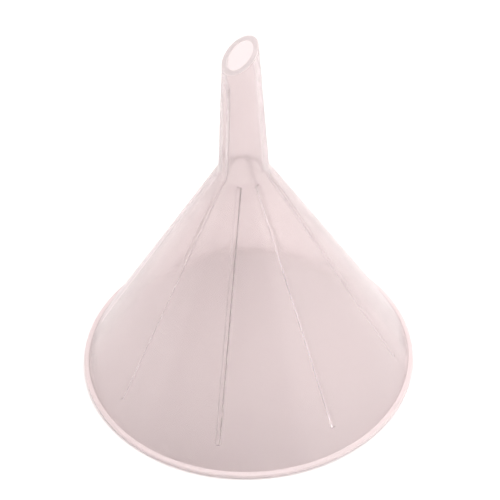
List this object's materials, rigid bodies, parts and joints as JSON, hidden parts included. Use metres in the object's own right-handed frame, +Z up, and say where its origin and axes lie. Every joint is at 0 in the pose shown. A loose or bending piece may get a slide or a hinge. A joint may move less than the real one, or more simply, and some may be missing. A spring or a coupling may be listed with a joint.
{
  "type": "conical filling funnel",
  "caption": "Conical laboratory funnel in translucent plastic with a beaded rim, ribs inside the cone and a tapered stem with a bevelled tip, stored mouth down on its rim.",
  "frame": {"origin": "centre of the rim's rest face, with the funnel stood mouth down", "axes": "+Z up along the funnel's axis, from the mouth to the tip; -Y towards the low side of the bevelled tip and the rib inside the stem"},
  "size_m": [0.1, 0.1, 0.1152],
  "materials": {
    "polypropylene": "translucent, natural colour, faint satin of a moulded surface"
  },
  "bodies": {
    "root": {"rim_bead": "polypropylene", "cone_wall": "polypropylene", "neck": "polypropylene", "stem_tube": "polypropylene", "stem_rib": "polypropylene", "cone_rib_1": "polypropylene", "cone_rib_2": "polypropylene", "cone_rib_3": "polypropylene", "cone_rib_4": "polypropylene", "cone_rib_5": "polypropylene", "cone_rib_6": "polypropylene", "cone_rib_7": "polypropylene", "cone_rib_8": "polypropylene"}
  },
  "joints": []
}
